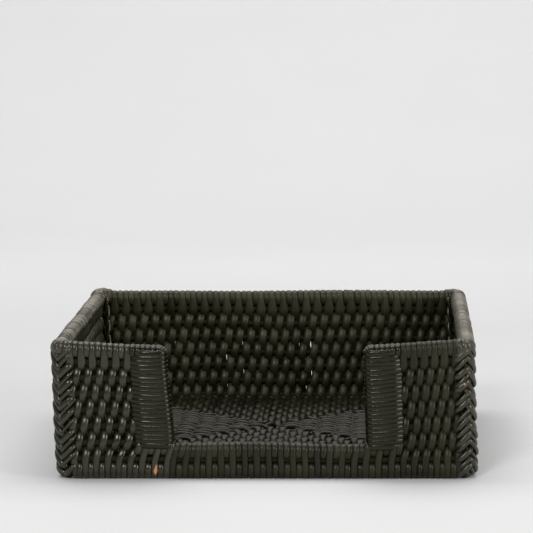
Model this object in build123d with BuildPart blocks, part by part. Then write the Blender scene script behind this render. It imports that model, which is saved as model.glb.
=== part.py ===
"""Square woven rattan tray for luncheon napkins, with a hand cut-out in its front wall.

Frame: the origin is the centre of the footprint on the table, +X is right, +Z is up, and the front wall
faces -Y. Every rod is a piece of its own. The strands woven over the rods are closed solids with the rods'
channels cut out of them, one for each wall, corner, lip, binding and floor quarter. Millimetres.
"""
from build123d import *
import os

# Overall size
tray_width = 203.0
tray_depth = 203.0
tray_height = 66.5

# Rattan stock
rod_diameter = 3.8
strand_thickness = 2.4
wall_thickness = rod_diameter + 2 * strand_thickness

# Walls
corner_radius = 9.0
inner_corner_radius = 0.5
corner_braid_width = 10.4
foot_outer_radius = 4.0
foot_inner_radius = 2.4
rim_edge_radius = 4.2
wall_rod_count = 7
lowest_wall_rod_height = 9.3
wall_rod_gap = 7.85
rod_end_clearance = 0.5

# Cut-out in the front wall
cutout_width = 92.0
lip_height = 17.6
binding_width = 18.0
binding_bottom = 15.5

# Floor
floor_top = 10.6
floor_rod_count = 10
floor_rod_bend = 2.3

# Worked out from the sizes above
rod_radius = rod_diameter / 2
half_wall = wall_thickness / 2
inner_width = tray_width - 2 * wall_thickness
inner_depth = tray_depth - 2 * wall_thickness
wall_middle_x = tray_width / 2 - half_wall
wall_middle_y = tray_depth / 2 - half_wall
rod_bend = corner_radius - half_wall
panel_half_width = tray_width / 2 - corner_braid_width
panel_half_depth = tray_depth / 2 - corner_braid_width
half_cutout = cutout_width / 2
binding_outer_x = half_cutout + binding_width
post_x = half_cutout + half_wall
floor_bottom = floor_top - wall_thickness
floor_rod_gap = (inner_width / 2 - half_wall) / floor_rod_count

os.makedirs("parts", exist_ok=True)


def save(part, label):
    """Label a finished piece and write it as its own STEP file."""
    part.label = label
    export_step(part, f"parts/{label}.step")


# ---------------------------------------------------------------- rods of the walls

def closed_rod(half_x, half_y, height, bend):
    """A rod bent into a closed rectangle with rounded corners."""
    corners = [(-half_x, -half_y), (half_x, -half_y), (half_x, half_y), (-half_x, half_y)]
    with BuildPart() as rod:
        with BuildLine(Plane.XY.offset(height)):
            FilletPolyline(*corners, radius=bend, close=True)
        with BuildSketch(Plane(origin=(0, -half_y, height), z_dir=(1, 0, 0))):
            Circle(rod_radius)
        sweep()
    return rod.part


def open_rod(end_x, height):
    """A rod round the sides and the back whose two ends stop beside the cut-out."""
    points = [
        (-end_x, -wall_middle_y),
        (-wall_middle_x, -wall_middle_y),
        (-wall_middle_x, wall_middle_y),
        (wall_middle_x, wall_middle_y),
        (wall_middle_x, -wall_middle_y),
        (end_x, -wall_middle_y),
    ]
    with BuildPart() as rod:
        with BuildLine(Plane.XY.offset(height)):
            FilletPolyline(*points, radius=rod_bend)
        with BuildSketch(Plane(origin=(-end_x, -wall_middle_y, height), z_dir=(-1, 0, 0))):
            Circle(rod_radius)
        sweep()
    return rod.part


foot_rod_height = half_wall
rim_rod_height = tray_height - half_wall
lip_rod_height = lip_height - half_wall

# The foot rod and the lowest wall rod run right round, under the cut-out.
wall_rods = {
    "foot_rod": closed_rod(wall_middle_x, wall_middle_y, foot_rod_height, rod_bend),
    "wall_rod_1": closed_rod(wall_middle_x, wall_middle_y, lowest_wall_rod_height, rod_bend),
}
for number in range(2, wall_rod_count + 1):
    rod_height = lowest_wall_rod_height + (number - 1) * wall_rod_gap
    wall_rods[f"wall_rod_{number}"] = open_rod(post_x + rod_radius + rod_end_clearance, rod_height)
wall_rods["rim_rod"] = open_rod(half_cutout + strand_thickness, rim_rod_height)

# The lip rod lies between the two jamb posts, over the lowest wall rod.
with BuildPart() as lip_rod:
    with BuildSketch(Plane(origin=(0, -wall_middle_y, lip_rod_height), z_dir=(1, 0, 0))):
        Circle(rod_radius)
    extrude(amount=post_x - rod_radius - rod_end_clearance, both=True)
wall_rods["lip_rod"] = lip_rod.part

# The jamb posts run from the lowest wall rod up to the rim rod.
post_bottom = lowest_wall_rod_height + rod_radius + rod_end_clearance
post_top = rim_rod_height - rod_radius - rod_end_clearance
for side, sign in (("left", -1), ("right", 1)):
    with BuildPart() as jamb_post:
        with BuildSketch(Plane.XY.offset(post_bottom)):
            with Locations((sign * post_x, -wall_middle_y)):
                Circle(rod_radius)
        extrude(amount=post_top - post_bottom)
    wall_rods[f"jamb_post_{side}"] = jamb_post.part

for label, rod in wall_rods.items():
    save(rod, label)


# ---------------------------------------------------------------- woven walls

def ring_piece(centre, size):
    """The plan of the wall ring inside one rectangle."""
    RectangleRounded(tray_width, tray_depth, corner_radius)
    RectangleRounded(inner_width, inner_depth, inner_corner_radius, mode=Mode.SUBTRACT)
    with Locations(centre):
        Rectangle(*size, mode=Mode.INTERSECT)


def wall_weave(label, centre, size, along, top=tray_height):
    """A straight stretch of wall, its foot rounded as the strands turn under it, its top over a rod."""
    with BuildPart() as weave:
        with BuildSketch():
            ring_piece(centre, size)
        extrude(amount=top)
        long_edges = weave.edges().filter_by(along).group_by(Axis.Z)
        inner_foot, outer_foot = long_edges[0].sort_by_distance((0, 0, 0))
        fillet(outer_foot, radius=foot_outer_radius)
        fillet(inner_foot, radius=foot_inner_radius)
        fillet(weave.edges().filter_by(along).group_by(Axis.Z)[-1], radius=rim_edge_radius)
        add(wall_rods.values(), mode=Mode.SUBTRACT)
    save(weave.part, label)


wall_weave("back_wall_weave", (0, wall_middle_y), (2 * panel_half_width, wall_thickness), Axis.X)
wall_weave("left_wall_weave", (-wall_middle_x, 0), (wall_thickness, 2 * panel_half_depth), Axis.Y)
wall_weave("right_wall_weave", (wall_middle_x, 0), (wall_thickness, 2 * panel_half_depth), Axis.Y)
wall_weave("lip_weave", (0, -wall_middle_y), (cutout_width, wall_thickness), Axis.X, top=lip_height)

# Each front panel has a low part that runs on under the binding of its jamb.
front_panel_width = panel_half_width - half_cutout
for side, sign in (("left", -1), ("right", 1)):
    with BuildPart() as front_weave:
        with BuildSketch():
            ring_piece(
                (sign * (panel_half_width + half_cutout) / 2, -wall_middle_y),
                (front_panel_width, wall_thickness))
        extrude(amount=tray_height)
        with BuildSketch(Plane.XY.offset(binding_bottom)):
            ring_piece(
                (sign * (binding_outer_x + half_cutout) / 2, -wall_middle_y),
                (binding_width, wall_thickness))
        extrude(amount=tray_height - binding_bottom, mode=Mode.SUBTRACT)
        long_edges = front_weave.edges().filter_by(Axis.X).group_by(Axis.Z)
        inner_foot, outer_foot = long_edges[0].sort_by_distance((0, 0, 0))
        fillet(outer_foot, radius=foot_outer_radius)
        fillet(inner_foot, radius=foot_inner_radius)
        fillet(front_weave.edges().filter_by(Axis.X).group_by(Axis.Z)[-1], radius=rim_edge_radius)
        add(wall_rods.values(), mode=Mode.SUBTRACT)
    save(front_weave.part, f"front_{side}_wall_weave")

# The binding is wound round the jamb post and the rod ends, and closes the end of the rim.
for side, sign in (("left", -1), ("right", 1)):
    with BuildPart() as binding:
        with BuildSketch(Plane.XY.offset(binding_bottom)):
            ring_piece(
                (sign * (binding_outer_x + half_cutout) / 2, -wall_middle_y),
                (binding_width, wall_thickness))
        extrude(amount=tray_height - binding_bottom)
        cutout_side = binding.faces().sort_by_distance((0, -wall_middle_y, tray_height / 2))[0]
        rim_edges = binding.edges().filter_by(Axis.X).group_by(Axis.Z)[-1]
        end_edges = cutout_side.edges() - cutout_side.edges().group_by(Axis.Z)[0]
        fillet(rim_edges + end_edges, radius=rim_edge_radius)
        add(wall_rods.values(), mode=Mode.SUBTRACT)
    save(binding.part, f"jamb_binding_{side}")


# ---------------------------------------------------------------- corner braids

braid_centre_x = (tray_width - corner_braid_width) / 2
braid_centre_y = (tray_depth - corner_braid_width) / 2
for end, sign_y in (("front", -1), ("back", 1)):
    for side, sign_x in (("left", -1), ("right", 1)):
        with BuildPart() as corner:
            with BuildSketch():
                ring_piece(
                    (sign_x * braid_centre_x, sign_y * braid_centre_y),
                    (corner_braid_width, corner_braid_width))
            extrude(amount=tray_height)
            bends = corner.edges().filter_by(GeomType.CIRCLE).group_by(Axis.Z)
            inner_foot, outer_foot = bends[0].sort_by_distance((0, 0, 0))
            fillet(outer_foot, radius=foot_outer_radius)
            fillet(inner_foot, radius=foot_inner_radius)
            fillet(corner.edges().filter_by(GeomType.CIRCLE).group_by(Axis.Z)[-1], radius=rim_edge_radius)
            add(wall_rods.values(), mode=Mode.SUBTRACT)
        save(corner.part, f"{end}_{side}_corner_braid")


# ---------------------------------------------------------------- floor

floor_rod_height = floor_top - half_wall
floor_rods = []
for number in range(1, floor_rod_count + 1):
    half_side = floor_rod_gap * number
    floor_rods.append(closed_rod(half_side, half_side, floor_rod_height, floor_rod_bend))
    save(floor_rods[-1], f"floor_rod_{number}")

# The floor's strands run square to each wall, in four quarters that meet along the diagonals.
for label, turn in (("front", 0), ("right", 90), ("back", 180), ("left", 270)):
    with BuildPart() as quarter:
        with BuildSketch(Plane.XY.offset(floor_bottom)):
            RectangleRounded(inner_width, inner_depth, inner_corner_radius)
            with Locations(Location((0, 0, 0), (0, 0, turn))):
                Polygon((0, 0), (-inner_width, -inner_width), (inner_width, -inner_width),
                        align=None, mode=Mode.INTERSECT)
        extrude(amount=floor_top - floor_bottom)
        add(floor_rods, mode=Mode.SUBTRACT)
    save(quarter.part, f"floor_weave_{label}")
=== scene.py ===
"""Looks of the woven rattan napkin tray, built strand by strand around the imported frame. Metres."""
import math

import bpy
import numpy as np
from mathutils import Matrix, Vector


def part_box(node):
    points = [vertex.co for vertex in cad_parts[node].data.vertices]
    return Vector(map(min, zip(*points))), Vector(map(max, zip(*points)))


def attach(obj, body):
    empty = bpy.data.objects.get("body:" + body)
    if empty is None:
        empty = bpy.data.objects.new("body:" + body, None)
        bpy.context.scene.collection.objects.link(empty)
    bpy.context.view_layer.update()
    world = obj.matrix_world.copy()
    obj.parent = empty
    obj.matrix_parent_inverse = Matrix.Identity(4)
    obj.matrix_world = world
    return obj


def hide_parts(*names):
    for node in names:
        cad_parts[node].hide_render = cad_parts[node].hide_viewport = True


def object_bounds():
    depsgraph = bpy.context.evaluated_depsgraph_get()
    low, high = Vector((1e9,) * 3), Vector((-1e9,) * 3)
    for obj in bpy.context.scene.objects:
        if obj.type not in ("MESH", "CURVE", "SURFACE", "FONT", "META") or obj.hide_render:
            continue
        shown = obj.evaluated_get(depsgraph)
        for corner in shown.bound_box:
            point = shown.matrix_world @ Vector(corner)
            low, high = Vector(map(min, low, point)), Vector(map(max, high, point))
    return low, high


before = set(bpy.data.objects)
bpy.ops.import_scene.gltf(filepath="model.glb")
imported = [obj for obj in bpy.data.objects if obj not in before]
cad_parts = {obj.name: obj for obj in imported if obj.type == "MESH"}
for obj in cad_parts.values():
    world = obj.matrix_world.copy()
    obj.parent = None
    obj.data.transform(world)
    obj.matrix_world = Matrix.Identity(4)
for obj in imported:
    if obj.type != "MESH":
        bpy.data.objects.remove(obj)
cad_low, cad_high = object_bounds()

MM = 0.001
X, Y, Z = 0, 1, 2
UP = np.array([0.0, 0.0, 1.0])
rng = np.random.default_rng(20)


# ---------------------------------------------------------------- measures taken from the frame

def middle(node, axis):
    """The middle of a CAD node's box along one axis."""
    low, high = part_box(node)
    return (low[axis] + high[axis]) / 2


def extent(node, axis):
    """The size of a CAD node's box along one axis."""
    low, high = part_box(node)
    return high[axis] - low[axis]


# The walls: their thickness, and the distance from the tray's middle to the middle of a wall.
WALL = extent("back_wall_weave", Y)
HALF = cad_high[X] - WALL / 2
HEIGHT = cad_high[Z]

# The stock: a rod's radius, a strand's thickness, and the radius of a strand wrapped round a rod.
ROD_R = extent("wall_rod_1", Z) / 2
STRAND_T = WALL / 2 - ROD_R
WRAP_R = ROD_R + STRAND_T / 2

# The rods of the walls.
BEND_R = 4.7 * MM
FOOT_Z = middle("foot_rod", Z)
RIM_Z = middle("rim_rod", Z)
LIP_Z = middle("lip_rod", Z)
WALL_RODS = [f"wall_rod_{number}" for number in range(1, 8)]
WALL_Z = [middle(name, Z) for name in WALL_RODS]
GAP = (WALL_Z[-1] - WALL_Z[0]) / (len(WALL_Z) - 1)

# Where the straight weave gives way to the corner braids, and the bindings beside the cut-out.
PANEL_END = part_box("back_wall_weave")[1][X]
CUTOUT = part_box("jamb_binding_right")[0][X]
BINDING_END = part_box("jamb_binding_right")[1][X]
BINDING_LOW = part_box("jamb_binding_right")[0][Z]
POST_X = middle("jamb_post_right", X)

# The floor's rods, squares one inside the other.
FLOOR_RODS = [f"floor_rod_{number}" for number in range(1, 11)]
FLOOR_HALVES = [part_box(name)[1][X] - ROD_R for name in FLOOR_RODS]
FLOOR_GAP = FLOOR_HALVES[1] - FLOOR_HALVES[0]
FLOOR_BEND_R = 2.3 * MM
FLOOR_Z = middle("floor_rod_1", Z)


# ---------------------------------------------------------------- camera

CAMERA_PLACE = (0.061, -1.4565, 0.259)
CAMERA_YAW, CAMERA_PITCH, CAMERA_ROLL = (math.radians(angle) for angle in (-2.50, 6.595, -0.46))
CAMERA_LENS = 195.6


def make_camera():
    """A long lens a little above the rim and to the right, turned slightly to the left."""
    ahead = Vector((
        math.sin(CAMERA_YAW) * math.cos(CAMERA_PITCH),
        math.cos(CAMERA_YAW) * math.cos(CAMERA_PITCH),
        -math.sin(CAMERA_PITCH)))
    level = Vector((math.cos(CAMERA_YAW), -math.sin(CAMERA_YAW), 0.0))
    over = level.cross(ahead)
    right = level * math.cos(CAMERA_ROLL) + over * math.sin(CAMERA_ROLL)
    top = over * math.cos(CAMERA_ROLL) - level * math.sin(CAMERA_ROLL)
    data = bpy.data.cameras.new("camera")
    data.lens = CAMERA_LENS
    data.sensor_width = 36.0
    data.clip_start = 0.05
    data.clip_end = 50.0
    camera = bpy.data.objects.new("camera", data)
    turn = Matrix((right, top, -ahead)).transposed().to_4x4()
    camera.matrix_world = Matrix.Translation(CAMERA_PLACE) @ turn
    bpy.context.scene.collection.objects.link(camera)
    bpy.context.scene.camera = camera


make_camera()


# ---------------------------------------------------------------- shader nodes

def node_of(tree, kind, **settings):
    """A new shader node with its properties and input values set."""
    node = tree.nodes.new(kind)
    for name, value in settings.items():
        if name in node.inputs:
            node.inputs[name].default_value = value
        else:
            setattr(node, name, value)
    return node


def attribute(tree, name, output="Fac"):
    """A value stored on the mesh's vertices."""
    return node_of(tree, "ShaderNodeAttribute", attribute_name=name).outputs[output]


def noise(tree, vector, scale, detail, roughness):
    """Cloudy noise over a vector."""
    node = node_of(tree, "ShaderNodeTexNoise", Scale=scale, Detail=detail, Roughness=roughness)
    tree.links.new(vector, node.inputs["Vector"])
    return node.outputs["Fac"]


def scaled_sum(tree, value, factor, other):
    """A value times a factor, plus another value."""
    node = node_of(tree, "ShaderNodeMath", operation="MULTIPLY_ADD")
    tree.links.new(value, node.inputs[0])
    node.inputs[1].default_value = factor
    tree.links.new(other, node.inputs[2])
    return node.outputs["Value"]


def mix(tree, factor, first, second, blend="MIX"):
    """Two colours mixed or multiplied; each of the three inputs is a socket or a constant."""
    node = node_of(tree, "ShaderNodeMix", data_type="RGBA", blend_type=blend)
    sockets = (node.inputs["Factor"], node.inputs[6], node.inputs[7])
    for value, socket in zip((factor, first, second), sockets):
        if isinstance(value, bpy.types.NodeSocket):
            tree.links.new(value, socket)
        else:
            socket.default_value = value
    return node.outputs[2]


def ramp(tree, source, stops):
    """A colour ramp over a value, with (value, grey or colour) stops in order."""
    low, high = stops[0][0], stops[-1][0]
    spread = node_of(tree, "ShaderNodeMapRange")
    spread.inputs["From Min"].default_value = low
    spread.inputs["From Max"].default_value = high
    tree.links.new(source, spread.inputs["Value"])
    node = tree.nodes.new("ShaderNodeValToRGB")
    elements = node.color_ramp.elements
    while len(elements) < len(stops):
        elements.new(0.5)
    for element, (value, colour) in zip(elements, stops):
        element.position = (value - low) / (high - low)
        element.color = (*colour, 1.0) if isinstance(colour, tuple) else (colour, colour, colour, 1.0)
    tree.links.new(spread.outputs["Result"], node.inputs["Fac"])
    return node.outputs["Color"]


# ---------------------------------------------------------------- stained rattan

# The fibres are fine across the strand and long along it.
FIBRE_SCALE = (2600.0, 2600.0, 70.0)
BLOTCH_SCALE = 70.0
GRAIN_DEPTH = 0.12 * MM
LACQUER_TINT = (1.0, 0.96, 0.82, 1.0)
# The lighter colour painted on the tops of the side walls, as painted light from above.
PAINTED_RIM_LIGHT_COLOUR = (0.17, 0.148, 0.122, 1.0)
BARE_COLOUR = (0.55, 0.24, 0.1, 1.0)


def rattan(name, dark, light, shine, mirror):
    """Stained, lacquered rattan: fibres along the strand, a tone of its own for each strand, worn bare spots,
    and painted light that makes the tops of the side walls lighter.

    shine is the lacquer's roughness, and mirror its specular level.
    """
    material = bpy.data.materials.new(name)
    material.use_nodes = True
    tree = material.node_tree
    shader = tree.nodes["Principled BSDF"]
    shader.inputs["Specular IOR Level"].default_value = mirror
    shader.inputs["Specular Tint"].default_value = LACQUER_TINT

    along = node_of(tree, "ShaderNodeMapping", Scale=FIBRE_SCALE)
    tree.links.new(attribute(tree, "grain", "Vector"), along.inputs["Vector"])
    fibres = noise(tree, along.outputs["Vector"], scale=1.0, detail=4.0, roughness=0.6)
    place = node_of(tree, "ShaderNodeTexCoord").outputs["Object"]
    blotches = noise(tree, place, scale=BLOTCH_SCALE, detail=3.0, roughness=0.55)

    depth = scaled_sum(tree, attribute(tree, "tone"), 0.7, blotches)
    stain = ramp(tree, depth, [(0.35, dark), (1.3, light)])
    # Painted light: the tops of the side walls are mixed toward a lighter colour.
    rubbed = mix(tree, attribute(tree, "painted_rim_light"), stain, PAINTED_RIM_LIGHT_COLOUR)
    streaks = ramp(tree, fibres, [(0.3, 0.62), (0.72, 1.25)])
    streaked = mix(tree, 1.0, rubbed, streaks, "MULTIPLY")
    ragged = scaled_sum(tree, attribute(tree, "wear"), 1.6, fibres)
    worn = ramp(tree, ragged, [(1.0, 0.0), (1.35, 1.0)])
    tree.links.new(mix(tree, worn, streaked, BARE_COLOUR), shader.inputs["Base Color"])

    gloss = ramp(tree, blotches, [(0.3, shine - 0.08), (0.7, shine + 0.12)])
    tree.links.new(gloss, shader.inputs["Roughness"])
    bump = node_of(tree, "ShaderNodeBump", Strength=0.55, Distance=GRAIN_DEPTH)
    tree.links.new(fibres, bump.inputs["Height"])
    tree.links.new(bump.outputs["Normal"], shader.inputs["Normal"])
    return material


strand_stain = rattan(
    "strand_stain", (0.0054, 0.0053, 0.0019), (0.0235, 0.0226, 0.011), shine=0.27, mirror=0.66)
# The back wall's copy is lighter than the front's, as painted light.
lit_inner_stain = rattan(
    "lit_inner_stain", (0.0132, 0.0128, 0.0045), (0.047, 0.0445, 0.0215), shine=0.43, mirror=0.4)
# The front right panel's and the lip's copy is a little darker, as painted shade, and less glossy.
shaded_dull_stain = rattan(
    "shaded_dull_stain", (0.0052, 0.0051, 0.0018), (0.0215, 0.021, 0.0095), shine=0.4, mirror=0.34)
# The side walls' copy is lighter than the front's, as painted light, and glossier.
lit_side_stain = rattan(
    "lit_side_stain", (0.009, 0.0088, 0.003), (0.034, 0.032, 0.016), shine=0.3, mirror=0.66)
binding_stain = rattan(
    "binding_stain", (0.0034, 0.0034, 0.001), (0.0125, 0.012, 0.0042), shine=0.2, mirror=0.36)
# The floor's copy is darker than the walls', as painted shade inside the tray.
shaded_floor_stain = rattan(
    "shaded_floor_stain", (0.0033, 0.0032, 0.0012), (0.0162, 0.0155, 0.007), shine=0.32, mirror=0.22)
# The rods are darker than the strands, as painted shade in the gaps between strands where they show.
shaded_rod_stain = rattan(
    "shaded_rod_stain", (0.0045, 0.0045, 0.0014), (0.0125, 0.0122, 0.004), shine=0.6, mirror=0.15)


# ---------------------------------------------------------------- hand-made unevenness

# How far the walls wander up and down, their rim too, and bow inward, and how far the tray leans.
SWAY = 0.45 * MM
RIM_SWAY = 0.4 * MM
BOW = 0.35 * MM
SKEW = 0.9 * MM

# The front rim's dip, and the jambs' shift. The left jamb has more of it at its foot, and less further up.
RIM_DIP = 2.0 * MM
JAMB_SHIFT = 1.8 * MM
LEFT_FOOT_SHIFT = 1.65
LEFT_LEAN = 1.1

# The corners: how far they stand up, the back left one further, and how far their feet are drawn in.
CORNER_LIFT = 0.8 * MM
SHOULDER = 0.9 * MM
FOOT_ROUNDING = 1.1 * MM


def ease(low, high, value):
    """0 up to low and 1 from high on, smooth between. low may be the higher of the two."""
    t = np.clip((value - low) / (high - low), 0.0, 1.0)
    return t * t * (3 - 2 * t)


def unit(vectors):
    """Each row scaled to a length of one."""
    return vectors / np.linalg.norm(vectors, axis=1, keepdims=True)


def sag(moved, x, y, z):
    """The rods wander up and down, the walls bow inward a little, and the whole tray leans to the left.

    The lengths of the waves are chosen to look irregular together.
    """
    free = np.sin(math.pi * np.clip(z / HEIGHT, 0, 1))
    wander = np.sin(x / (13 * MM) + y / (21 * MM)) + np.sin(y / (15 * MM) - x / (27 * MM))
    moved[:, Z] += SWAY * free * wander
    moved[:, Z] -= RIM_SWAY * (z / HEIGHT) * (1 + np.sin(x / (17 * MM) + y / (12 * MM) + 1.0)) / 2
    bow = BOW * free * (np.sin(z / (14 * MM) + (x - y) / (23 * MM)) - 1) / 2
    moved[:, X] += np.where(np.abs(x) > np.abs(y), np.sign(x) * bow, 0)
    moved[:, Y] += np.where(np.abs(y) >= np.abs(x), np.sign(y) * bow, 0)
    moved[:, X] += SKEW * (1 - 2 * z / HEIGHT)


def shift_jambs(moved, x, y, z):
    """The front rim dips towards the cut-out. Both jambs stand a little to the right, the left one askew."""
    front = ease(-HALF + 3 * WALL, -HALF + WALL, y)
    moved[:, Z] -= RIM_DIP * front * ease(PANEL_END, CUTOUT, np.abs(x)) * (z / HEIGHT) ** 1.5
    jamb = JAMB_SHIFT * front * ease(BINDING_LOW - 10 * MM, BINDING_LOW + 4 * MM, z)
    near_right = ease(20 * MM, CUTOUT - 4 * MM, x) * (1 - ease(BINDING_END, PANEL_END, x))
    near_left = ease(20 * MM, CUTOUT - 4 * MM, -x) * (1 - ease(BINDING_END, PANEL_END, -x))
    moved[:, X] += jamb * near_right
    upper = ease(0.25 * HEIGHT, 0.9 * HEIGHT, z)
    moved[:, X] += jamb * near_left * (LEFT_FOOT_SHIFT - LEFT_LEAN * upper)


def shape_corners(moved, x, y, z):
    """The corners stand a little above the rim, the back left one most, and are rounder at the foot."""
    at_corner = ease(0.9 * HALF, 0.98 * HALF, np.minimum(np.abs(x), np.abs(y)))
    back_left = (x < 0) & (y > 0)
    moved[:, Z] += (CORNER_LIFT + SHOULDER * back_left) * (z / HEIGHT) ** 2 * at_corner
    pull = FOOT_ROUNDING * (1 - ease(0, 8 * MM, z)) * at_corner
    moved[:, X] -= np.sign(x) * pull
    moved[:, Y] -= np.sign(y) * pull


def settle(points):
    """Moves points of the ideal tray to where a hand-woven one has them: 0.7 mm mostly, 3.4 mm at most."""
    x, y, z = points.T
    moved = points.copy()
    sag(moved, x, y, z)
    shift_jambs(moved, x, y, z)
    shape_corners(moved, x, y, z)
    return moved


def jitter(amount):
    """A small random offset either way."""
    return rng.uniform(-amount, amount)


# ---------------------------------------------------------------- wear, and painted light on the rims

# Two chips in the stain, near the foot of the left jamb and on the right front corner, each with its radius.
WORN_SPOTS = [
    ((-CUTOUT - 5.8 * MM, cad_low[Y] + 0.9 * MM, 4.0 * MM), 1.0 * MM),
    ((PANEL_END + 4.1 * MM, cad_low[Y] + 0.3 * MM, 45.8 * MM), 0.8 * MM),
]
SPOT_SHAPE = np.array([1.0, 1.0, 1.8])
RIM_WEAR = 0.26


def rim_light_and_wear_reach(points):
    """How much each place takes of the painted light and the wear on the rims: most on the tops of the side
    walls, and less at the front corners.
    """
    x, y, z = points.T
    side_rim = ease(HEIGHT - 8 * MM, HEIGHT - MM, z) * ease(PANEL_END, HALF, np.abs(x))
    return side_rim * (0.35 + 0.65 * ease(-HALF - ROD_R, -PANEL_END + ROD_R, y))


def chips(points):
    """1 in the middle of each worn spot, falling to 0 round it."""
    worn = np.zeros(len(points))
    for spot, size in WORN_SPOTS:
        worn += np.exp(-(((points - spot) / (size * SPOT_SHAPE)) ** 2).sum(axis=1))
    return worn


# ---------------------------------------------------------------- strands as meshes

# The ring that closes a strand's end: its size, and how far on it is, both as parts of the strand's own.
TIP_SIZE = 0.55
TIP_REACH = 0.6


def store(mesh, name, values):
    """Gives every vertex of a mesh a number or a vector of its own, for its material to read."""
    kind, field = ("FLOAT_VECTOR", "vector") if values.ndim == 2 else ("FLOAT", "value")
    layer = mesh.attributes.new(name, kind, "POINT")
    layer.data.foreach_set(field, values.astype(np.float32).ravel())


def with_tips(sizes):
    """Half sizes along a strand, with one more at each end for its tip."""
    return np.hstack([sizes[0] * TIP_SIZE, sizes, sizes[-1] * TIP_SIZE])


def signed_power(wave, power):
    """A wave raised to a power, with its sign kept; below 1, it stays nearer to its crests."""
    return np.sign(wave) * np.abs(wave) ** power


class Bundle:
    """Strands or rods gathered into one mesh piece."""

    def __init__(self):
        self.points, self.faces, self.grain, self.tone, self.rubbed = [], [], [], [], []
        self.count = 0

    def add(self, path, across, width, thickness, sides=8, square=1.0, rubbed=0.5):
        """One strand along a path; across is the direction of its width, the other way is its thickness.

        A square below 1 fills out the corners of its section. The last argument is how much of the painted
        light and wear on the side walls' rims the strand takes.
        """
        path = settle(np.asarray(path, float))
        run = unit(np.gradient(path, axis=0))
        normal = unit(np.cross(run, np.broadcast_to(across, path.shape)))
        wide = np.cross(normal, run)
        # A many-sided section is narrower across its faces than across its corners.
        narrower = math.cos(math.pi / sides)
        width = np.broadcast_to(np.asarray(width, float), len(path)) / 2 / narrower
        thick = np.broadcast_to(np.asarray(thickness, float), len(path)) / 2 / narrower
        # Each end closes with one smaller ring a little further on.
        tip = thick[0] * TIP_REACH
        path = np.vstack([path[0] - run[0] * tip, path, path[-1] + run[-1] * tip])
        normal = np.pad(normal, ((1, 1), (0, 0)), mode="edge")
        wide = np.pad(wide, ((1, 1), (0, 0)), mode="edge")

        angle = np.arange(sides) * 2 * math.pi / sides + math.pi / sides
        flat = with_tips(width)[:, None] * signed_power(np.cos(angle), square)
        high = with_tips(thick)[:, None] * signed_power(np.sin(angle), square)
        rings = path[:, None, :] + flat[..., None] * wide[:, None, :] + high[..., None] * normal[:, None, :]
        length = np.hstack([0, np.cumsum(np.linalg.norm(np.diff(path, axis=0), axis=1))]) + rng.uniform(0, 5)
        grain = np.stack([flat, high, np.broadcast_to(length[:, None], flat.shape)], axis=-1)
        total = len(path)
        self.add_faces(total, sides)
        self.points.append(rings.reshape(-1, 3))
        self.grain.append(grain.reshape(-1, 3))
        self.tone.append(np.full(total * sides, rng.uniform()))
        self.rubbed.append(np.full(total * sides, rubbed))
        self.count += total * sides

    def add_faces(self, total, sides):
        """Joins the next rings into a tube and closes both of its ends."""
        start = self.count + np.arange(total - 1)[:, None] * sides
        here = start + np.arange(sides)
        after = start + (np.arange(sides) + 1) % sides
        quads = np.stack([here, after, after + sides, here + sides], axis=-1).reshape(-1, 4)
        self.faces.extend(quads.tolist())
        self.faces.append((self.count + np.arange(sides)[::-1]).tolist())
        self.faces.append((self.count + (total - 1) * sides + np.arange(sides)).tolist())

    def build(self, name, material, slot, *nodes):
        """Makes the piece, which stands for the CAD nodes named."""
        points = np.vstack(self.points)
        mesh = bpy.data.meshes.new(name)
        mesh.from_pydata(points.tolist(), [], self.faces)
        mesh.shade_smooth()
        # Painted light on the tops of the side walls; the same mask also adds wear there.
        lit_and_worn_rim = rim_light_and_wear_reach(points) * np.hstack(self.rubbed)
        store(mesh, "grain", np.vstack(self.grain))
        store(mesh, "tone", np.hstack(self.tone))
        store(mesh, "painted_rim_light", lit_and_worn_rim)
        store(mesh, "wear", np.clip(chips(points) + RIM_WEAR * lit_and_worn_rim, 0, 1))
        mesh.materials.append(material)
        piece = bpy.data.objects.new(name, mesh)
        bpy.context.scene.collection.objects.link(piece)
        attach(piece, "root")
        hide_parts(*nodes)


# ---------------------------------------------------------------- walls

class Wall:
    """A wall seen from outside: u runs to the right along it, d outward from the middle of its thickness."""

    def __init__(self, right, outward):
        self.right = np.array([*right, 0.0])
        self.outward = np.array([*outward, 0.0])

    def at(self, u, d, z):
        """Points of the tray at these places of the wall."""
        u, d, z = np.broadcast_arrays(u, d, z)
        return u[..., None] * self.right + (HALF + d[..., None]) * self.outward + z[..., None] * UP


FRONT = Wall((1, 0), (0, -1))
RIGHT = Wall((0, 1), (1, 0))
BACK = Wall((-1, 0), (0, 1))
LEFT = Wall((0, -1), (-1, 0))

# How far a strand stands from the middle of the wall at a rod, and at the foot and the rim.
WEAVE_R = 1.75 * MM
LOOP_OUT = 2.35 * MM

# Widths and the sideways lean between rods, as parts of the distance from strand to strand.
STRAND_WIDTH = 1.39
TOP_CROWDING = 0.16
LIP_WIDTH = 1.14
FOOT_WIDTH = 1.12
RIM_WIDTH = 1.16
COIL_WIDTH = 1.0
LEAN = 0.165

# How much lower every other strand lies on a coiled rim.
COIL_STEP = 0.3

# How far a strand stands off its place, and how far it wanders along its length.
DRIFT = 0.1 * MM
WANDER = 0.19 * MM

# The wave past the rods: how flat its crests are, and how late it crosses over.
CREST = 0.85
DELAY = 0.06

# How far past a half turn a strand is tucked behind the foot or rim rod.
TUCK = math.radians(58)
ARC_STEPS = 12
GAP_STEPS = 12


def loop_over(side, centre_z, up):
    """(d, z) round a rod from one side to the other and tucked behind it, over the top or under the foot."""
    angle = np.linspace(0, math.pi + TUCK, ARC_STEPS)
    return side * LOOP_OUT * np.cos(angle), centre_z + up * WRAP_R * np.sin(angle)


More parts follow.
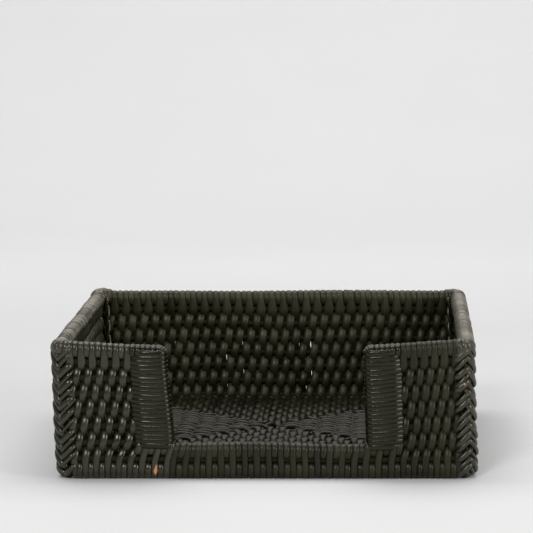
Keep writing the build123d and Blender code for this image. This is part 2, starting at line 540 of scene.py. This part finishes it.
def woven_line(side, levels, top_z):
    """(d, z) of a strand: under the foot rod, on alternate sides of the rods at the levels, over the top."""
    foot_d, foot_z = loop_over(side, FOOT_Z, -1)
    gaps = len(levels) - 1
    turn = np.linspace(0, gaps, gaps * GAP_STEPS + 1)
    late = turn - DELAY * np.abs(np.sin(math.pi * turn))
    weave_d = side * WEAVE_R * signed_power(np.cos(math.pi * late), CREST)
    weave_z = levels[0] + turn * GAP
    top_d, top_line = loop_over(side * (-1) ** gaps, top_z, 1)
    return np.hstack([foot_d[::-1], weave_d, top_d]), np.hstack([foot_z[::-1], weave_z, top_line])


def weave_wall(bundle, wall, first, last, count, side, levels, top_z, width=STRAND_WIDTH, coiled=False):
    """Fills a stretch of wall with upright strands, alternate ones on alternate sides of the rods.

    Over a coiled rim the strands bulge out, every other one lies lower, and each takes a different share of
    the painted light and wear on the rim. The strands crowd together and broaden at the highest of several
    rods.
    """
    pitch = abs(last - first) / (count - 1)
    rim_width = COIL_WIDTH if coiled else RIM_WIDTH
    gaps = len(levels) - 1
    for u in np.linspace(first, last, count):
        d, z = woven_line(side, levels, top_z)
        phase = (z - levels[0]) / GAP
        woven = ease(-0.5, 0.0, phase) * ease(gaps + 0.5, gaps, phase)
        lean = side * LEAN * pitch * rng.uniform(0.7, 1.3) * np.sin(math.pi * phase) * woven
        drift = jitter(DRIFT) + jitter(WANDER) * np.sin(z / (9 * MM) + rng.uniform(0, 6))
        edge = np.where(z < levels[0], FOOT_WIDTH, rim_width)
        crowded = 1 + (gaps > 0) * TOP_CROWDING * ease(gaps - 1, gaps, phase)
        spread = woven * width * crowded + (1 - woven) * edge
        coil = coiled * ease(top_z - 2 * WRAP_R, top_z, z)
        lower = 1 - (side < 0) * COIL_STEP * rng.uniform(0.7, 1.3) * coil
        d = d * lower * (1 + jitter(0.05)) * (1 + (WRAP_R / LOOP_OUT - 1) * coil)
        z = np.where(z > top_z, top_z + (z - top_z) * lower, z)
        bundle.add(
            wall.at(u + lean + drift, d, z), wall.right,
            pitch * spread * rng.uniform(0.94, 1.05), STRAND_T * rng.uniform(0.88, 1.0), square=0.88,
            rubbed=rng.uniform(0.0, 1.15) if coiled else 0.5)
        side = -side


# The outermost strand of a wall, and the innermost of a front panel.
EDGE = PANEL_END + 0.5 * MM
INNER_EDGE = BINDING_END + 1.2 * MM

# The low strands under a binding, from beside the panel to beside the cut-out, and the last one of the lip.
LOW_EDGE = INNER_EDGE - 2.8 * MM
CUTOUT_EDGE = CUTOUT + 1.4 * MM
LIP_END = CUTOUT - 1.4 * MM
LOW_TOP = BINDING_LOW - 0.6 * MM

# How many strands there are in each stretch.
BACK_STRANDS = 61
SIDE_STRANDS = 69
PANEL_STRANDS = 11
LOW_STRANDS = 6
LIP_STRANDS = 32


def side_wall(name, wall, count, stain, coiled=False):
    """A wall woven from corner to corner."""
    bundle = Bundle()
    weave_wall(bundle, wall, -EDGE, EDGE, count, 1, WALL_Z, RIM_Z, coiled=coiled)
    bundle.build(name, stain, "wall_strands", name)


def front_panel(label, sign, stain):
    """A front panel, and the low strands that end behind the lowest turns of its binding."""
    bundle = Bundle()
    weave_wall(bundle, FRONT, sign * EDGE, sign * INNER_EDGE, PANEL_STRANDS, 1, WALL_Z, RIM_Z)
    # These pass only the lowest wall rod, and end behind the binding's lowest turns.
    weave_wall(
        bundle, FRONT, sign * LOW_EDGE, sign * CUTOUT_EDGE, LOW_STRANDS, -1, WALL_Z[:1], LOW_TOP, LIP_WIDTH)
    name = f"front_{label}_wall_weave"
    bundle.build(name, stain, "wall_strands", name)


def lip():
    """The low wall under the cut-out."""
    bundle = Bundle()
    weave_wall(bundle, FRONT, -LIP_END, LIP_END, LIP_STRANDS, 1, WALL_Z[:1], LIP_Z, LIP_WIDTH)
    bundle.build("lip_weave", shaded_dull_stain, "wall_strands", "lip_weave")


side_wall("back_wall_weave", BACK, BACK_STRANDS, lit_inner_stain)
side_wall("left_wall_weave", LEFT, SIDE_STRANDS, lit_side_stain, coiled=True)
side_wall("right_wall_weave", RIGHT, SIDE_STRANDS, lit_side_stain, coiled=True)
front_panel("left", -1, strand_stain)
front_panel("right", 1, shaded_dull_stain)
lip()


# ---------------------------------------------------------------- jamb bindings

TURN_PITCH = 2.13 * MM
BINDING_R = WRAP_R + 0.15 * MM
BINDING_TOP = RIM_Z + 0.2 * MM
TURN_T = 1.9 * MM

# How much shorter the lowest and the highest turns are, and how uneven the turns are: how far their ends
# stand off, how far they stand off their level, and how far they wander along their length.
SHORTER_TURN = 1.6 * MM
RAGGED_END = 0.35 * MM
TURN_DRIFT = 0.15 * MM
TURN_WANDER = 0.25 * MM

# The rim's wraps beside the jamb, the narrower ones of the fan round its corner, and how far they tuck in.
WRAP_WIDTH = 2.9 * MM
FAN_WIDTH = 1.9 * MM
WRAP_DIP = 0.9 * MM

# The end of a turn: places along the wall from its mean end, and how deep each is tucked in.
TURN_RUN = np.array([0.8, -0.3, -1.6, -2.9, -4.8, -8.0]) * MM
TURN_DEPTH = np.array([2.4, 1.55, 0.85, 0.2, 0.0, 0.0]) * MM


def wind_turns(bundle, sign):
    """Close level turns round the jamb, from the outer face past the cut-out's edge to the inner face."""
    count = int((BINDING_TOP - BINDING_LOW) / TURN_PITCH)
    for level in np.linspace(BINDING_LOW + TURN_PITCH / 2, BINDING_TOP, count):
        # The left jamb's lower turns reach further out than the rest.
        step = (0.6 if level > 0.6 * HEIGHT or sign > 0 else -0.4) * MM
        ending = BINDING_END - step + jitter(RAGGED_END)
        fade = ease(BINDING_LOW + 5 * MM, BINDING_LOW, level) + ease(BINDING_TOP - 4 * MM, BINDING_TOP, level)
        ending -= SHORTER_TURN * fade
        angle = np.linspace(math.pi / 2, -math.pi / 2, 13)
        end_x = ending + TURN_RUN
        end_d = BINDING_R - TURN_DEPTH
        x = np.hstack([end_x, POST_X - BINDING_R * np.cos(angle), end_x[::-1]])
        d = np.hstack([end_d, BINDING_R * np.sin(angle), -end_d[::-1]])
        z = level + jitter(TURN_DRIFT) + jitter(TURN_WANDER) * np.sin(x / (8 * MM) + rng.uniform(0, 6))
        bundle.add(FRONT.at(sign * x, d, z), UP, TURN_PITCH * rng.uniform(1.4, 1.55), TURN_T, square=0.8)


def wrap_rim_end(bundle, sign):
    """The rim's wraps above the turns, and a fan of wraps round the corner between them."""
    angle = np.linspace(-math.radians(30), math.pi + math.radians(30), 16)
    radius = WRAP_R - WRAP_DIP * ease(math.radians(60), math.radians(100), np.abs(angle - math.pi / 2))
    d = radius * np.cos(angle)
    reach = radius * np.sin(angle)
    for x in np.linspace(INNER_EDGE - 2.6 * MM, POST_X, 6):
        bundle.add(FRONT.at(sign * x, d, RIM_Z + reach), FRONT.right, WRAP_WIDTH, STRAND_T)
    for turned in np.radians([22, 44, 66]):
        x = POST_X - reach * math.sin(turned)
        z = RIM_Z + reach * math.cos(turned)
        across = np.array([sign * math.cos(turned), 0.0, math.sin(turned)])
        bundle.add(FRONT.at(sign * x, d, z), across, FAN_WIDTH, STRAND_T)


for label, sign in (("left", -1), ("right", 1)):
    bundle = Bundle()
    wind_turns(bundle, sign)
    wrap_rim_end(bundle, sign)
    name = f"jamb_binding_{label}"
    bundle.build(name, binding_stain, "binding_strands", name)


# ---------------------------------------------------------------- corners

ARC_R = BEND_R + WRAP_R
ARC_HALF = ARC_R * math.pi / 4
BRAID_PITCH = GAP
BRAID_RISE = 0.95
BRAID_APEX = 1.1 * MM
BRAID_OVERLAP = 2.4 * MM
BRAID_T = 2.2 * MM
BRAID_STEPS = 18
FEWEST_STEPS = 6

# A strand comes up out of its wall over a short run, stands a little proud, and dives past the apex.
BRAID_PROUD = 0.1 * MM
RISE_DEPTH, RISE_RUN = 2.8 * MM, 2.6 * MM
DIVE_DEPTH, DIVE_END = 3.0 * MM, 3.0 * MM

# The strand of each row and the thinner one above it: height over the row, depth and width, in mm. Then how
# far a strand's height may be off either way, in mm too.
BRAID_STRANDS = ((0.0, 0.0, 3.1), (3.6, 0.4, 2.4))
BRAID_UNEVENNESS = 0.9

# The two strands up the inside of a corner: how far in they stand, the radius of their twist, and their size.
TWIST_INSET = 0.3 * MM
TWIST_R = 0.85 * MM
TWIST_WIDTH, TWIST_T = 1.9 * MM, 1.7 * MM


def corner_at(centre, heading, s, h, d):
    """A point on the corner: s round it from its middle, h up it, turning under the foot and over the rim."""
    s, h, d = np.broadcast_arrays(s, h, d)
    below = np.clip((FOOT_Z - h) / WRAP_R, 0, None)
    above = np.clip((h - RIM_Z) / WRAP_R, 0, None)
    out = d * np.cos(below) * np.cos(above)
    z = np.clip(h, FOOT_Z, RIM_Z) - d * np.sin(below) + d * np.sin(above)
    on_arc = np.clip(s, -ARC_HALF, ARC_HALF)
    swing = heading + on_arc / ARC_R
    radial = np.stack([np.cos(swing), np.sin(swing), 0 * swing], axis=-1)
    tangent = np.stack([-np.sin(swing), np.cos(swing), 0 * swing], axis=-1)
    return centre + radial * (BEND_R + out)[..., None] + tangent * (s - on_arc)[..., None] + z[..., None] * UP


def braid_strand(bundle, centre, heading, apex, turn, middle_h, climb, strand):
    """One strand from its wall across the corner's middle, where it dives under those of the other wall."""
    extra, depth, width = strand
    reach = ARC_HALF + BRAID_OVERLAP + turn * apex
    along = np.linspace(-reach, DIVE_END, BRAID_STEPS)
    lift = WRAP_R + BRAID_PROUD - RISE_DEPTH * ease(-reach + RISE_RUN, -reach, along)
    lift -= DIVE_DEPTH * ease(-0.4 * MM, 2.8 * MM, along) + depth * MM
    h = middle_h + (extra + jitter(BRAID_UNEVENNESS)) * MM + climb * rng.uniform(0.8, 1.15) * along
    h = np.clip(h, FOOT_Z - 2.2 * WRAP_R, RIM_Z + 2.2 * WRAP_R)
    path = corner_at(centre, heading, apex + turn * along, h, lift)
    normal = corner_at(centre, heading, apex + turn * along, h, lift + MM) - path
    run = np.gradient(path, axis=0)
    # Where h is clipped at the foot or the rim, the path stands still. A strand that is too short is skipped.
    keep = np.linalg.norm(run, axis=1) > 0.1 * MM
    if keep.sum() < FEWEST_STEPS:
        return
    narrowing = 1 - 0.35 * ease(-1 * MM, 3 * MM, along[keep])
    across = unit(np.cross(run[keep], normal[keep]))
    bundle.add(path[keep], across, width * rng.uniform(0.8, 1.05) * MM * narrowing, BRAID_T)


def braid_rows(bundle, centre, heading, apex, hand):
    """Rows of chevrons up the corner, one strand from each wall in turn."""
    rows = int((RIM_Z - FOOT_Z) / BRAID_PITCH) + 2
    for row in range(-1, rows + 1):
        for turn, start in ((-1, 0.75), (1, 0.25)):
            middle_h = FOOT_Z + (row + start) * BRAID_PITCH
            for strand in BRAID_STRANDS:
                braid_strand(bundle, centre, heading, apex, turn, middle_h, hand * BRAID_RISE, strand)


def wrap_rim_bend(bundle, centre, heading):
    """Wraps round the rim rod's bend, narrower on the inside of the bend."""
    angle = np.linspace(-math.radians(40), math.pi + math.radians(50), 16)
    for swing in np.radians([-38, -19, 0, 19, 38]):
        radial = np.array([math.cos(heading + swing), math.sin(heading + swing), 0.0])
        out = BEND_R + WRAP_R * np.cos(angle)
        path = centre + out[:, None] * radial + (RIM_Z + WRAP_R * np.sin(angle))[:, None] * UP
        bundle.add(path, np.cross(UP, radial), np.clip(out * 0.38, 0.5 * MM, WRAP_WIDTH), BRAID_T)


def close_inside(bundle, sign_x, sign_y, hand):
    """Two thin strands twisted round each other up the inside of the corner."""
    inside = np.array([sign_x, sign_y, 0.0]) * (HALF - WALL / 2 - TWIST_INSET)
    climb = np.linspace(FOOT_Z, RIM_Z, 60)
    for ply in (0, math.pi):
        twist = hand * climb * math.pi / GAP + ply
        path = inside + TWIST_R * np.stack([np.cos(twist), np.sin(twist), 0 * twist], axis=-1)
        bundle.add(path + climb[:, None] * UP, FRONT.right, TWIST_WIDTH, TWIST_T)


for end, sign_y in (("front", -1), ("back", 1)):
    for label, sign_x in (("left", -1), ("right", 1)):
        bundle = Bundle()
        centre = np.array([sign_x * (HALF - BEND_R), sign_y * (HALF - BEND_R), 0.0])
        heading = math.atan2(sign_y, sign_x)
        hand = sign_x * -sign_y
        # The apex of the chevrons stands a little off the diagonal, on the front or back face.
        braid_rows(bundle, centre, heading, -hand * BRAID_APEX, hand)
        wrap_rim_bend(bundle, centre, heading)
        close_inside(bundle, sign_x, sign_y, hand)
        name = f"{end}_{label}_corner_braid"
        bundle.build(name, strand_stain, "corner_strands", name)


# ---------------------------------------------------------------- floor

FLOOR_PITCH = 3.07 * MM
SEAM_BEND = 4.0 * MM
SEAM_ANGLES = np.radians(np.linspace(49, 0, 6))[:-1]

# How far a strand's wave slides along it, how far it sinks, and how far it stands off its place.
FLOOR_SLIDE = 1.1 * MM
FLOOR_SINK = 0.5 * MM
FLOOR_DRIFT = 0.15 * MM


def weave_floor(label, wall, first_side, crimp, fill, swell):
    """A quarter of the floor: strands square to the wall, over and under the rods, bent at the seams.

    They rise and dip by crimp about the rods. fill is their width, and swell is how much wider they are where
    they pass a rod, both as parts of the distance from strand to strand.
    """
    bundle = Bundle()
    outer = FLOOR_HALVES[-1]
    columns = int(outer / FLOOR_PITCH)
    loop = np.linspace(0, math.pi + TUCK, ARC_STEPS)[1:]
    level = np.zeros(len(loop))
    for column in range(-columns, columns):
        u = (column + 0.5) * FLOOR_PITCH
        toward = math.copysign(1, u)
        from_middle = column if column >= 0 else -1 - column
        side = first_side * toward * (-1) ** from_middle
        # v runs outward from the tray's middle: first the bend at the seam, then straight to the wall.
        seam_bend = min(SEAM_BEND, outer - abs(u) - MM)
        straight = abs(u) + seam_bend
        steps = max(4, int((outer - straight) / FLOOR_GAP * GAP_STEPS))
        v = np.hstack([straight - seam_bend * np.sin(SEAM_ANGLES), np.linspace(straight, outer, steps)])
        slant = np.zeros(len(v))
        slant[:len(SEAM_ANGLES)] = toward * seam_bend * (1 - np.cos(SEAM_ANGLES))
        past_seam = ease(straight, straight + FLOOR_GAP, v)
        shift = jitter(FLOOR_SLIDE) * ease(outer, outer - FLOOR_GAP, v) * past_seam
        wave = signed_power(np.cos(math.pi * (outer - v + shift) / FLOOR_GAP), CREST)
        e = side * crimp * wave + WRAP_R - crimp - rng.uniform(0, FLOOR_SINK)
        phase = (outer - v) / FLOOR_GAP
        lean = side * LEAN * FLOOR_PITCH * rng.uniform(0.5, 1.2) * np.sin(math.pi * phase) * past_seam
        spread = fill + swell * np.abs(np.cos(math.pi * phase)) ** 1.5
        v = np.hstack([v, outer + WRAP_R * np.sin(loop)])
        e = np.hstack([e, side * crimp * np.cos(loop) + WRAP_R - crimp])
        sideways = u + jitter(FLOOR_DRIFT) + np.hstack([lean + slant, level])
        path = sideways[:, None] * wall.right + v[:, None] * wall.outward + (FLOOR_Z + e)[:, None] * UP
        width = FLOOR_PITCH * rng.uniform(0.93, 1.05) * np.hstack([spread, level + 1.1])
        bundle.add(path, wall.right, width, STRAND_T * rng.uniform(0.9, 1.0))
    name = f"floor_weave_{label}"
    bundle.build(name, shaded_floor_stain, "floor_strands", name)


# The front quarter is the coarsest. A strand keeps its side of the rods where it bends into the next quarter.
weave_floor("front", FRONT, 1, 2.5 * MM, 0.86, 0.6)
weave_floor("right", RIGHT, -1, 0.9 * MM, 0.9, 0.15)
weave_floor("back", BACK, 1, 0.9 * MM, 1.12, 0.2)
weave_floor("left", LEFT, -1, 0.9 * MM, 0.9, 0.15)


# ---------------------------------------------------------------- rods

LINE_STEPS = 25
JAMB_CLEARANCE = 2.4 * MM


def square_path(half, bend, height, end_x=0.0):
    """Round a square with bent corners, from end_x left of the middle of its front to end_x right of it."""
    flat = half - bend
    turn = np.linspace(0, math.pi / 2, 7)
    line = np.linspace(0, 1, LINE_STEPS)
    front_y = np.full(LINE_STEPS, -half)
    points = [np.stack([-end_x - (flat - end_x) * line, front_y], axis=-1)]
    corners = np.array([(-1, -1), (-1, 1), (1, 1), (1, -1)]) * flat
    for number, centre in enumerate(corners):
        swing = math.radians(270) - number * math.pi / 2 - turn
        points.append(centre + bend * np.stack([np.cos(swing), np.sin(swing)], axis=-1))
        if number < 3:
            points.append(points[-1][-1] + line[1:-1, None] * (corners[number + 1] - centre))
    points.append(np.stack([flat - (flat - end_x) * line, front_y], axis=-1)[1:])
    plan = np.vstack(points)
    apart = np.linalg.norm(np.diff(plan, axis=0), axis=1) > 1e-6
    plan = plan[np.hstack([True, apart])]
    return np.column_stack([plan, np.full(len(plan), height)])


def make_rod(name, path, slot, across=UP):
    """One rod along a path."""
    bundle = Bundle()
    bundle.add(path, across, 2 * ROD_R, 2 * ROD_R, sides=12)
    bundle.build(name, shaded_rod_stain, slot, name)


make_rod("foot_rod", square_path(HALF, BEND_R, FOOT_Z), "wall_rods")
make_rod("wall_rod_1", square_path(HALF, BEND_R, WALL_Z[0]), "wall_rods")
for name, level in zip(WALL_RODS[1:], WALL_Z[1:]):
    make_rod(name, square_path(HALF, BEND_R, level, POST_X + JAMB_CLEARANCE), "wall_rods")
make_rod("rim_rod", square_path(HALF, BEND_R, RIM_Z, CUTOUT + JAMB_CLEARANCE), "wall_rods")
lip_x = np.linspace(-1, 1, LINE_STEPS) * extent("lip_rod", X) / 2
make_rod("lip_rod", FRONT.at(lip_x, 0 * lip_x, LIP_Z), "wall_rods")
for label, sign in (("left", -1), ("right", 1)):
    low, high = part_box(f"jamb_post_{label}")
    post_z = np.linspace(low[Z], high[Z], 13)
    post = FRONT.at(sign * POST_X, 0.0, post_z)
    make_rod(f"jamb_post_{label}", post, "wall_rods", FRONT.right)
for name, half in zip(FLOOR_RODS, FLOOR_HALVES):
    make_rod(name, square_path(half, FLOOR_BEND_R, FLOOR_Z), "floor_rods")


# ---------------------------------------------------------------- stage and lights

# The paper's tone at distances behind the tray's middle, with painted shade near and behind the tray:
# lightest in front of it, darkest 0.4 m behind it.
PAPER_TONES_WITH_SHADE = [
    (-0.5, 0.715), (-0.155, 0.715), (-0.12, 0.69), (-0.05, 0.665),
    (0.07, 0.62), (0.42, 0.60), (0.79, 0.68), (1.2, 0.705), (1.5, 0.705),
]
STAGE_NEAR, STAGE_FAR, STAGE_BEND, STAGE_TOP, STAGE_SIDE = -2.2, 1.0, 0.6, 2.2, 3.0


def stage_mesh():
    """A floor that curves up into a backdrop."""
    turn = np.linspace(0, math.pi / 2, 13)
    curve = zip(STAGE_FAR + STAGE_BEND * np.sin(turn), STAGE_BEND - STAGE_BEND * np.cos(turn))
    outline = [(STAGE_NEAR, 0.0), *curve, (STAGE_FAR + STAGE_BEND, STAGE_TOP)]
    points = [(x, y, z) for y, z in outline for x in (-STAGE_SIDE, STAGE_SIDE)]
    faces = [(2 * i, 2 * i + 1, 2 * i + 3, 2 * i + 2) for i in range(len(outline) - 1)]
    mesh = bpy.data.meshes.new("stage")
    mesh.from_pydata(points, [], faces)
    mesh.shade_smooth()
    return mesh


def paper():
    """Pale matt paper, faintly mottled, with painted shade near and behind the tray."""
    material = bpy.data.materials.new("paper")
    material.use_nodes = True
    tree = material.node_tree
    place = node_of(tree, "ShaderNodeTexCoord").outputs["Object"]
    split = node_of(tree, "ShaderNodeSeparateXYZ")
    tree.links.new(place, split.inputs["Vector"])
    # Painted shade: the paper darkens near the tray and behind it.
    tone = ramp(tree, split.outputs["Y"], PAPER_TONES_WITH_SHADE)
    clouds = noise(tree, place, scale=9.0, detail=2.0, roughness=0.5)
    mottle = ramp(tree, clouds, [(0.3, 0.985), (0.7, 1.0)])
    shader = tree.nodes["Principled BSDF"]
    tree.links.new(mix(tree, 1.0, tone, mottle, "MULTIPLY"), shader.inputs["Base Color"])
    shader.inputs["Roughness"].default_value = 0.8
    return material


def make_stage():
    """Sets up the paper under and behind the tray."""
    mesh = stage_mesh()
    mesh.materials.append(paper())
    stage = bpy.data.objects.new("stage", mesh)
    bpy.context.scene.collection.objects.link(stage)


def softbox(name, place, target, size, power):
    """A rectangular area light aimed at a point."""
    data = bpy.data.lights.new(name, "AREA")
    data.shape = "RECTANGLE"
    data.size, data.size_y = size
    data.energy = power
    light = bpy.data.objects.new(name, data)
    light.location = place
    light.rotation_mode = "QUATERNION"
    light.rotation_quaternion = (Vector(target) - Vector(place)).to_track_quat("-Z", "Y")
    bpy.context.scene.collection.objects.link(light)


def make_world():
    """An even white surround, which fills the shadows."""
    world = bpy.data.worlds.new("world")
    world.use_nodes = True
    background = world.node_tree.nodes["Background"]
    background.inputs["Color"].default_value = (1.0, 1.0, 1.0, 1.0)
    background.inputs["Strength"].default_value = 0.28
    bpy.context.scene.world = world


make_stage()
softbox("overhead", (0.0, 0.5, 1.5), (0.0, 0.0, 0.0), size=(1.5, 1.2), power=13.5)
softbox("key", (-0.36, -1.35, 1.05), (0.0, 0.0, 0.03), size=(0.35, 0.45), power=9.5)
softbox("right_side", (1.25, -0.75, 0.5), (0.0, 0.0, 0.03), size=(0.7, 0.5), power=8.0)
softbox("backdrop_light", (0.0, 0.2, 1.7), (0.0, 1.6, 0.7), size=(2.4, 0.6), power=14.0)
make_world()
bpy.context.scene.view_settings.view_transform = "Standard"
